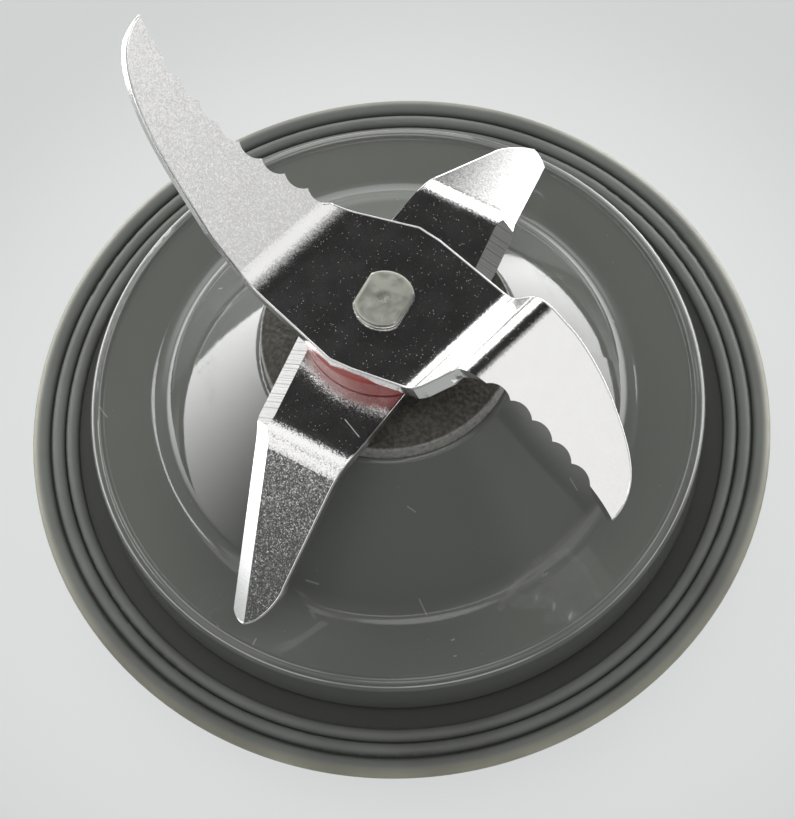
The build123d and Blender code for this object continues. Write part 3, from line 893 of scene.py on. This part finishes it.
@dataclass
class HubSeal:
    """Grained disc on the hub, and the shaft seal under it with its ring spring.

    A grain is a number of waves, a pitch and a seed.
    """

    disc_radius: float = 13.93
    disc_bore: float = 4.6
    disc_foot: float = 38.6
    disc_top: float = 40.8
    edge_round: float = 0.35
    top_rows: int = 72
    round_rows: int = 6
    side_rows: int = 7
    columns: int = 540
    grain_depth: float = 0.07
    top_grain: tuple = (60, 0.55, 7)
    side_grain: tuple = (40, 0.55, 8)
    spring_ring_radius: float = 5.58
    spring_height: float = 36.8
    spring_radius: float = 0.45
    wire_radius: float = 0.11
    turns: int = 60
    turn_steps: int = 14
    wire_sides: int = 8

    def build_disc(self) -> Piece:
        """Disc carried round the axis by its section, with the top sunk by a grain.

        Each row is one point of the section, run from the bore's foot up over the top and down
        the side. Each column is one angle. The grain lowers the top and draws the side in.

        Returns:
            The disc.
        """
        arc = np.linspace(np.pi / 2, 0, self.round_rows + 1)[1:]
        shoulder = self.disc_radius - self.edge_round
        ledge = self.disc_top - self.edge_round
        across = np.concatenate([
            [self.disc_bore], np.linspace(self.disc_bore, shoulder, self.top_rows),
            self.disc_radius - self.edge_round * (1 - np.cos(arc)),
            np.full(self.side_rows, self.disc_radius)])
        up = np.concatenate([
            [self.disc_foot], np.full(self.top_rows, self.disc_top),
            self.disc_top - self.edge_round * (1 - np.sin(arc)),
            np.linspace(ledge, self.disc_foot, self.side_rows + 1)[1:]])
        turn, radius = np.meshgrid(angles(self.columns), across)
        height = np.repeat(up[:, None], self.columns, axis=1)
        x, y = radius * np.cos(turn), radius * np.sin(turn)
        grain = self.grain_depth * ripples(x, y, *self.top_grain)
        side_grain = self.grain_depth * ripples(self.disc_radius * turn, height, *self.side_grain)
        row = np.arange(across.size)[:, None]
        inner = (row > 1) & (row < across.size - 1)
        height = height - np.where((height == self.disc_top) & inner, grain, 0.0)
        radius = radius - np.where((radius > shoulder) & inner, side_grain, 0.0)
        grid = np.stack([radius * np.cos(turn), radius * np.sin(turn), height], axis=-1)
        return sheet_mesh("grained_disc", grid[::-1], True, True)

    def build_spring(self) -> Piece:
        """Ring spring: a round wire carried along a helix that is itself bent into a ring.

        The helix point is the ring's centre line plus the coil radius turned by the number of
        turns. Two directions across the wire come from the helix's tangent.

        Returns:
            The spring.
        """
        along = angles(self.turns * self.turn_steps)
        coil = self.spring_radius - self.wire_radius
        out = np.stack([np.cos(along), np.sin(along), np.zeros_like(along)], axis=-1)
        up = np.array([0.0, 0.0, 1.0])
        swing, lift = (turned(self.turns * along)[:, None] for turned in (np.cos, np.sin))
        path = out * (self.spring_ring_radius + coil * swing)
        path = path + up * (self.spring_height + coil * lift)
        tangent = unit(np.roll(path, -1, axis=0) - np.roll(path, 1, axis=0))
        across = out * swing + up * lift
        across = unit(across - tangent * dot(across, tangent))
        beside = np.cross(tangent, across)
        around = angles(self.wire_sides)[None, :, None]
        ring = across[:, None] * np.cos(around) + beside[:, None] * np.sin(around)
        return sheet_mesh("seal_coil", path[:, None] + self.wire_radius * ring, True, True)

    def dress(self) -> None:
        """Build both pieces and dress the seal."""
        disc = GrainedRubber("black_grained_rubber", self.disc_radius - self.edge_round)
        place_piece(self.build_disc(), Body.BASE, "disc_black", disc, "top_disc")
        wire = MachinedMetal("spring_wire", grey(0.62, 0.01), 0.28, Lay.NONE, 4.0)
        place_piece(self.build_spring(), Body.BASE, "spring_steel", wire, "seal_spring")
        dress(SatinMoulding("nitrile_rubber", grey(0.03), 0.5, 3.0, 0.015), "lip_seal")


@dataclass
class BearingStack:
    """Sleeve, bushes and oiled felt in the boss."""

    bronze: tuple = (0.55, 0.33, 0.14, 1.0)
    pores: float = 0.35

    def dress(self) -> None:
        """Steel, sintered bronze and felt."""
        steel = MachinedMetal("sleeve_steel", grey(0.6, 0.01), 0.3, Lay.LEVEL_RINGS, 5.0)
        dress(steel, "bearing_sleeve")
        bronze = MachinedMetal("sintered_bronze", self.bronze, 0.42, Lay.NONE, 3.0, self.pores)
        dress(bronze, "upper_bush", "lower_bush")
        dress(PressedFelt("oiled_felt"), "oil_felt")


@dataclass
class Blades:
    """Riveted pair of blades with the spacer between them and the rivet head on top."""

    lower_turn: float = 233.8
    lower_bend_angle: float = 42.9
    bevel_width: float = 1.9
    bevel_depth: float = 1.25
    lead_start: tuple = (4.0, -7.9)
    lead_bend: tuple = (15.9, -6.75)
    lead_end: tuple = (32.75, -2.0)
    level_look: tuple = (0.82, 1.0)
    sloped_look: tuple = (0.8, 0.1)
    scratch: tuple = ((-5.67, -10.95), (-4.42, -13.15), 0.045)
    lower_tilt: float = 0.105
    edge_from: float = 5.0
    edge_limit: float = 0.5
    face_rise: float = 0.5
    wall_rise: float = 0.75
    trailing_from: float = -0.2
    edge_inset: float = 0.09
    edge_radius: float = 0.132
    edge_sides: int = 10
    scallops_from: float = 13.0
    rivet_turn: float = 54.0
    rivet_radius: float = 3.3
    rivet_half_flat: float = 2.65
    rivet_spread: float = 0.03
    rivet_foot: float = 48.5
    rivet_top: float = 49.15
    rivet_crown: float = 0.07
    rivet_edge: float = 0.25
    rivet_side: tuple = ((0.06, 0.02), (0.0, 0.12), (0.0, 0.5))
    rivet_rings: int = 26
    ring_shares: tuple = (0.93, 0.004)
    rivet_columns: int = 96
    roll_rows: int = 6
    dent_depth: float = 0.03
    dents: tuple = (24, 1.7, 3)
    punch_depth: float = 0.12
    punch_radius: float = 0.42

    def ground_faces(self) -> tuple:
        """Normal and direction of the edge of each ground face, level and sloped, on both arms.

        A ground face leans from the arm's face towards the leading edge by the bevel's depth over
        its width.

        Returns:
            The ground faces.
        """
        faces = []
        parts = ((0.0, self.lead_start, self.lead_bend, self.level_look),
                 (-self.lower_bend_angle, self.lead_bend, self.lead_end, self.sloped_look))
        for turn in (self.lower_turn, self.lower_turn + 180):
            side = heading(turn + 90)
            for climb, start, end, look in parts:
                slope = radians(climb)
                along = heading(turn) * cos(slope) + np.array([0, 0, sin(slope)])
                face_up = np.cross(along, side)
                run = along * (end[0] - start[0]) / cos(slope) + side * (end[1] - start[1])
                inward = np.cross(face_up, run / np.linalg.norm(run))
                normal = face_up * self.bevel_width - inward * self.bevel_depth
                normal, run = unit(np.stack([normal, run])).tolist()
                faces.append(GroundFace(tuple(normal), tuple(run), *look))
        return tuple(faces)

    def build_rivet_head(self) -> Piece:
        """Peened head: rings of a round outline with two flats, shrinking over a low crown.

        The outline's radius at an angle is the lesser of the round and the flat's distance divided
        by the cosine, smoothed over five columns. Each row of the side has an inset and a share of
        the height. Hammer marks and a punch mark sink the crown by a few hundredths.

        Returns:
            The head.
        """
        angle = angles(self.rivet_columns)
        off = np.abs(np.cos(angle - radians(self.rivet_turn + 90)))
        outline = np.minimum(self.rivet_radius, self.rivet_half_flat / np.maximum(off, 0.1))
        outline = np.pad(outline + self.rivet_spread, 2, mode="wrap")
        smooth = np.array([1.0, 2.0, 3.0, 2.0, 1.0])
        outline = np.convolve(outline, smooth / smooth.sum(), mode="valid")
        roll = np.linspace(0, np.pi / 2, self.roll_rows + 1)[1:]
        rolled = np.stack([self.rivet_edge * (1 - np.cos(roll)), 0.5 + 0.5 * np.sin(roll)], axis=1)
        top = np.tile([self.rivet_edge, 1.0], (self.rivet_rings, 1))
        inset, rise = np.concatenate([self.rivet_side, rolled, top]).T[..., None]
        shrink = np.ones_like(inset)
        shrink[-self.rivet_rings:, 0] = np.linspace(*self.ring_shares, self.rivet_rings)
        radius = (outline - inset) * shrink
        x, y = radius * np.cos(angle), radius * np.sin(angle)
        crown = self.rivet_crown * (1 - (radius / self.rivet_radius) ** 2)
        dents = self.dent_depth * (1.0 - ripples(x, y, *self.dents))
        punch = self.punch_depth * np.exp(-((radius / self.punch_radius) ** 2))
        relief = np.where(shrink < 1, crown + dents - punch, 0.0)
        height = self.rivet_foot + (self.rivet_top - self.rivet_foot) * rise + relief
        grid = np.stack([x, y, height], axis=-1)
        return sheet_mesh("rivet_head", grid, False, True, True)

    def read_mesh(self, blade: str) -> tuple:
        """Corners of a blade's mesh, with equal ones joined.

        Args:
            blade: name of the blade's node.

        Returns:
            The spots in millimetres, and the three spot numbers of each triangle.
        """
        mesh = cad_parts[blade].data
        mesh.calc_loop_triangles()
        corner = np.empty(3 * len(mesh.loop_triangles), dtype=np.int32)
        mesh.loop_triangles.foreach_get("vertices", corner)
        spot = np.empty(3 * len(mesh.vertices))
        mesh.vertices.foreach_get("co", spot)
        spot = np.round(spot.reshape(-1, 3) / MM, 4)
        spot, which = np.unique(spot, axis=0, return_inverse=True)
        return spot, which.reshape(-1)[corner].reshape(-1, 3)

    def find_rim(self, spot: np.ndarray, triangle: np.ndarray) -> tuple:
        """Edges where a face that looks up meets an upright wall, but for the scalloped ones.

        Args:
            spot: corners of the mesh.
            triangle: the three spot numbers of each triangle.

        Returns:
            The two spot numbers of each rim edge, and the normals of its upper face and its wall.
        """
        first, second, third = (spot[triangle[:, side]] for side in range(3))
        facing = unit(np.cross(second - first, third - first))
        centre = (first + second + third) / 3
        pair = np.concatenate([triangle[:, [0, 1]], triangle[:, [1, 2]], triangle[:, [2, 0]]])
        pair = np.sort(pair, axis=1)
        owner = np.tile(np.arange(len(triangle)), 3)
        order = np.lexsort((pair[:, 1], pair[:, 0]))
        pair, owner = pair[order], owner[order]
        twin = np.flatnonzero((pair[1:] == pair[:-1]).all(axis=1))
        pair, one, other = pair[twin], owner[twin], owner[twin + 1]
        higher = facing[one, 2] >= facing[other, 2]
        upper = np.where(higher, one, other)
        top, wall = facing[upper], facing[np.where(higher, other, one)]
        middle = spot[pair].mean(axis=1)
        reach = np.hypot(middle[:, 0], middle[:, 1])
        trailing = wall[:, 1] * middle[:, 0] - wall[:, 0] * middle[:, 1]
        sharp = trailing / np.maximum(reach, 1.0) <= self.trailing_from
        rim = (top[:, 2] > self.face_rise) & (np.abs(wall[:, 2]) < self.wall_rise)
        rim &= (dot(top, wall) < self.edge_limit)[:, 0]
        rim &= (dot(centre[upper] - middle, wall) < 0)[:, 0]
        rim &= (reach > self.edge_from) & ~(sharp & (reach >= self.scallops_from))
        return pair[rim], top[rim], wall[rim]

    def build_edge(self, blade: str) -> Piece:
        """Rolled upper edge of a blade: a thin round carried along the sheet's rim.

        At each end of a rim edge the two faces' normals give the directions up and out, and the
        round's middle lies inside the metal by the same amount along both.

        Args:
            blade: name of the blade's node.

        Returns:
            The edge.
        """
        spot, triangle = self.read_mesh(blade)
        highest = spot[:, 2].max()
        pair, top, wall = self.find_rim(spot, triangle)
        used, pair = np.unique(pair, return_inverse=True)
        pair = pair.reshape(-1, 2)
        spot = spot[used]
        up, out = np.zeros_like(spot), np.zeros_like(spot)
        for end in pair.T:
            np.add.at(up, end, top)
            np.add.at(out, end, wall)
        up = unit(up)
        out = unit(out - up * dot(out, up))
        start, end = pair.T
        backward = dot(spot[end] - spot[start], np.cross(out[start], up[start]))[:, 0] < 0
        pair[backward] = pair[backward][:, ::-1]
        start, end = pair.T
        turn = angles(self.edge_sides)[:, None]
        sideways = self.edge_radius * np.cos(turn) - self.edge_inset
        upwards = self.edge_radius * np.sin(turn) - self.edge_inset
        ring = spot[:, None] + out[:, None] * sideways + up[:, None] * upwards
        ring[..., 2] = np.minimum(ring[..., 2], highest)
        number = np.arange(used.size * self.edge_sides).reshape(used.size, -1)
        cells = tube_cells(number[start], number[end]).reshape(-1, 4).tolist()
        first_ends = number[np.setdiff1d(start, end)][:, ::-1].tolist()
        last_ends = number[np.setdiff1d(end, start)].tolist()
        return mesh_object(f"{blade}_edge", ring.reshape(-1, 3), cells + first_ends + last_ends)

    def dress(self) -> None:
        """Dress both blades, the spacer and the washer, and add rolled edges and rivet head."""
        faces = self.ground_faces()
        dress(BladeSteel("ground_blade_steel", faces, self.scratch, self.lower_tilt), "lower_blade")
        dress(BladeSteel("rolled_blade_steel"), "upper_blade")
        dress(DyedNylon("red_spacer_plastic"), "blade_spacer")
        washer = MachinedMetal("washer_steel", grey(0.58, 0.01), 0.3, Lay.FACE_RINGS, 5.0)
        dress(washer, "support_washer")
        bright = MachinedMetal("burnished_edge_steel", grey(0.88, 0.005), 0.12, Lay.NONE, 3.0)
        for blade in ("lower_blade", "upper_blade"):
            place_piece(self.build_edge(blade), Body.ROTOR, "blade_steel", bright)
        rivet = PeenedSteel("peened_rivet")
        place_piece(self.build_rivet_head(), Body.ROTOR, "shaft_steel", rivet)


@dataclass
class Drive:
    """Shaft, thrust washers, clip and the star coupling with its insert."""

    brass: tuple = (0.66, 0.45, 0.16, 1.0)

    def dress(self) -> None:
        """Turned steel, plain washers, black coupling and brass insert."""
        shaft = MachinedMetal("turned_shaft_steel", grey(0.66, 0.01), 0.22, Lay.LEVEL_RINGS, 6.0)
        dress(shaft, "drive_shaft")
        plain = MachinedMetal("thrust_washer_steel", grey(0.6, 0.015), 0.32, Lay.FACE_RINGS, 5.0)
        dress(plain, "upper_thrust_washer", "lower_thrust_washer")
        clip = MachinedMetal("phosphated_clip", grey(0.16, 0.01), 0.42, Lay.NONE, 3.0)
        dress(clip, "retaining_clip")
        nylon = SatinMoulding("black_glass_nylon", grey(0.028), 0.42, 2.2, 0.025)
        dress(nylon, "drive_coupling")
        brass = MachinedMetal("brass_insert", self.brass, 0.28, Lay.FACE_RINGS, 5.0)
        dress(brass, "coupling_insert")


@dataclass(frozen=True)
class Glow:
    """Soft bright or dark patch of the studio, as seen from the object, in degrees."""

    azimuth: float
    elevation: float
    inner: float
    outer: float
    strength: float

    def patch(self, graph: Graph, direction: Feed) -> Socket:
        """Strength of the patch: a smooth step of the cosine between a direction and its middle."""
        facing = graph.vector("DOT_PRODUCT", direction, sky(self.azimuth, self.elevation))
        return graph.ramp(facing, *np.cos(np.radians((self.outer, self.inner))), 0.0, self.strength)


@dataclass(frozen=True)
class Card:
    """White reflecting card, bent round the axis, that fades towards both ends and its top."""

    left_end: float
    left_full: float
    right_full: float
    right_end: float
    strength: float
    distance: float = 100.0
    foot: float = 1.0
    top: float = 48.0
    fade: float = 16.0
    columns: int = 48
    rows: int = 6

    def build(self, name: str) -> Piece:
        """Strip of a cylinder: each column is one azimuth, each row one height.

        Args:
            name: name of the card.

        Returns:
            The card.
        """
        turn = np.radians(np.linspace(self.left_end, self.right_end, self.columns))
        azimuth, up = np.meshgrid(turn, np.linspace(self.foot, self.top, self.rows))
        across, ahead = self.distance * np.sin(azimuth), self.distance * np.cos(azimuth)
        card = sheet_mesh(name, np.stack([across, -ahead, up], axis=-1), False, False)
        card.data.materials.append(woven(name, self.light))
        for ray in ("camera", "diffuse", "shadow", "transmission"):
            setattr(card, f"visible_{ray}", False)
        return card

    def light(self, graph: Graph) -> None:
        """Even light over the middle, fading over the ends and the top.

        Args:
            graph: the material's tree.
        """
        middle = (self.left_end + self.right_end) / 2
        place = graph.place(middle - 90.0)
        angle = graph.math("ARCTAN2", graph.axis("Y", place), graph.axis("X", place))
        left_end, left_full, right_full, right_end = (
            radians(bound - middle)
            for bound in (self.left_end, self.left_full, self.right_full, self.right_end))
        left = graph.ramp(angle, left_end, left_full)
        right = graph.ramp(angle, right_full, right_end, 1.0, 0.0)
        high = graph.axis("Z", place)
        above = graph.ramp(high, self.top - self.fade, self.top, self.strength, 0.0)
        lamp = graph.node("Emission", {"Strength": graph.times(left, right, above)})
        graph.close(lamp.outputs[0])


@dataclass
class Studio:
    """Floor, surroundings, reflecting cards and camera."""

    floor_tone: tuple = (0.87, 0.895, 0.89, 1.0)
    floor_rim: tuple = (0.71, 0.735, 0.73, 1.0)
    floor_fade: tuple = (42.0, 78.0)
    floor_reach: float = 900.0
    floor_glow: float = 0.68
    floor_rows: int = 24
    floor_columns: int = 96
    light_tone: tuple = (1.0, 1.0, 0.99, 1.0)
    ambient: float = 0.36
    back_strength: float = 2.4
    back_foot: tuple = (-0.35, 0.0)
    back_top: tuple = (0.55, 0.72)
    back_side: tuple = (0.4, 0.75)
    shades: tuple = (
        Glow(180, 66, 19, 27, 0.965),
        Glow(-15, 8, 40, 62, 0.8),
        Glow(90, 32, 14, 26, 0.5),
        Glow(-141, 5, 8, 16, 0.63),
    )
    glows: tuple = (
        Glow(-60, 36, 5, 16, 1.2),
        Glow(-68, 46, 9, 13, 1.2),
        Glow(-88, 66, 11, 16, 1.15),
        Glow(62, 54, 12, 22, 1.03),
        Glow(56, 30, 8, 14, 0.68),
        Glow(0, 80, 6, 13, 2.4),
        Glow(75, 68, 4, 12, 0.5),
        Glow(126, 50, 1.5, 4, 5.0),
    )
    cards: tuple = (
        Card(-165, -148, -122, -55, 5.4),
        Card(60, 95, 134, 163, 4.9, 78),
        Card(-152, -142, -100, -84, 8.0, 150, 212, 255),
        Card(-48, -30, 30, 48, 2.2, 150, 216, 255),
    )
    image_size: tuple = (795, 819)
    focal_pixels: float = 2800.0
    sensor_width: float = 36.0
    clip_start: float = 0.01
    target: tuple = (-0.049, -1.64, 24.0)
    distance: float = 317.122
    elevation: float = 65.681
    roll: float = -7.385

    def back_band(self, graph: Graph, direction: Feed) -> Socket:
        """Strength of the bright band at the back, from the table up to about 40 degrees.

        Args:
            graph: the world's tree.
            direction: direction from the object.

        Returns:
            The strength.
        """
        high = graph.axis("Z", direction)
        rise = graph.ramp(high, *self.back_foot)
        fall = graph.ramp(high, *self.back_top, 1.0, 0.0)
        behind = graph.ramp(graph.axis("Y", direction), *self.back_side, 0.0, self.back_strength)
        return graph.times(rise, fall, behind)

    def build_world(self) -> None:
        """Surroundings: even light, soft patches, and pale where the camera looks."""
        world = bpy.data.worlds.new("studio")
        world.use_nodes = True
        bpy.context.scene.world = world
        graph = Graph(world.node_tree)
        direction = graph.vector("NORMALIZE", graph.node("TexCoord", {}).outputs["Generated"])
        level = graph.most(self.back_band(graph, direction), self.ambient)
        level = graph.times(level, *(graph.rest(shade.patch(graph, direction))
                                     for shade in self.shades))
        level = graph.most(level, *(glow.patch(graph, direction) for glow in self.glows))
        lit = graph.node("Background", {"Color": self.light_tone, "Strength": level})
        pale = graph.node("Background", {"Color": self.floor_tone})
        seen = graph.node("LightPath", {}).outputs["Is Camera Ray"]
        graph.close(graph.mix(seen, lit.outputs[0], pale.outputs[0]), "OutputWorld")

    def weave_paper(self, graph: Graph) -> None:
        """Pale paper with painted light that falls off away from the object, and that glows a
        little for the camera.

        Args:
            graph: the material's tree.
        """
        # painted light: the floor is paler near the object and darker away from it
        away = graph.ramp(graph.radius(), *self.floor_fade)
        cloud = graph.times(graph.noise(0.02, 2.0), 0.1)
        tone = graph.blend(away, self.floor_tone, self.floor_rim)
        colour = graph.blend(cloud, tone, self.floor_rim)
        paper = graph.shade(Base_Color=colour, Roughness=0.7, Specular_IOR_Level=0.0)
        glow = graph.node("Emission", {"Color": colour})
        seen = graph.node("LightPath", {}).outputs["Is Camera Ray"]
        graph.close(graph.mix(graph.times(seen, self.floor_glow), paper, glow.outputs[0]))

    def build_floor(self) -> None:
        """Level floor: rings of a disc whose radius grows with the square of the row."""
        row = np.linspace(0.001, 1, self.floor_rows) ** 2 * self.floor_reach
        radius, turn = np.meshgrid(row, angles(self.floor_columns), indexing="ij")
        grid = np.stack([radius * np.cos(turn), radius * np.sin(turn), 0 * turn], axis=-1)
        floor = sheet_mesh("studio_floor", grid, False, True)
        floor.data.materials.append(woven("studio_paper", self.weave_paper))

    def build_camera(self) -> None:
        """Camera in front of the object, looking down and rolled a little."""
        tilt, turn = radians(self.elevation), radians(self.roll)
        back = Vector((0.0, -cos(tilt), sin(tilt)))
        right = Vector((1.0, 0.0, 0.0))
        up = Vector((0.0, sin(tilt), cos(tilt)))
        across = right * cos(turn) + up * sin(turn)
        upright = up * cos(turn) - right * sin(turn)
        spot = (Vector(self.target) + back * self.distance) * MM
        lens = bpy.data.cameras.new("camera")
        lens.sensor_width = self.sensor_width
        lens.lens = self.focal_pixels / max(self.image_size) * self.sensor_width
        lens.clip_start = self.clip_start
        camera = bpy.data.objects.new("camera", lens)
        turned = Matrix((across, upright, back)).transposed().to_4x4()
        camera.matrix_world = Matrix.Translation(spot) @ turned
        bpy.context.scene.collection.objects.link(camera)
        bpy.context.scene.camera = camera

    def build(self) -> None:
        """Set the view up and make surroundings, cards, floor and camera."""
        bpy.context.scene.view_settings.view_transform = "Standard"
        self.build_world()
        for number, card in enumerate(self.cards):
            card.build(f"card_{number}")
        self.build_floor()
        self.build_camera()


def main() -> None:
    """Build and dress every sub-assembly in order, then build the studio."""
    logging.basicConfig(level=logging.INFO, format="%(message)s")
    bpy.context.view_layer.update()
    for assembly in (Housing(), Gasket(), HubSeal(), BearingStack(), Blades(), Drive()):
        assembly.dress()
    Studio().build()
    bpy.context.view_layer.update()


if __name__ == "__main__":
    main()
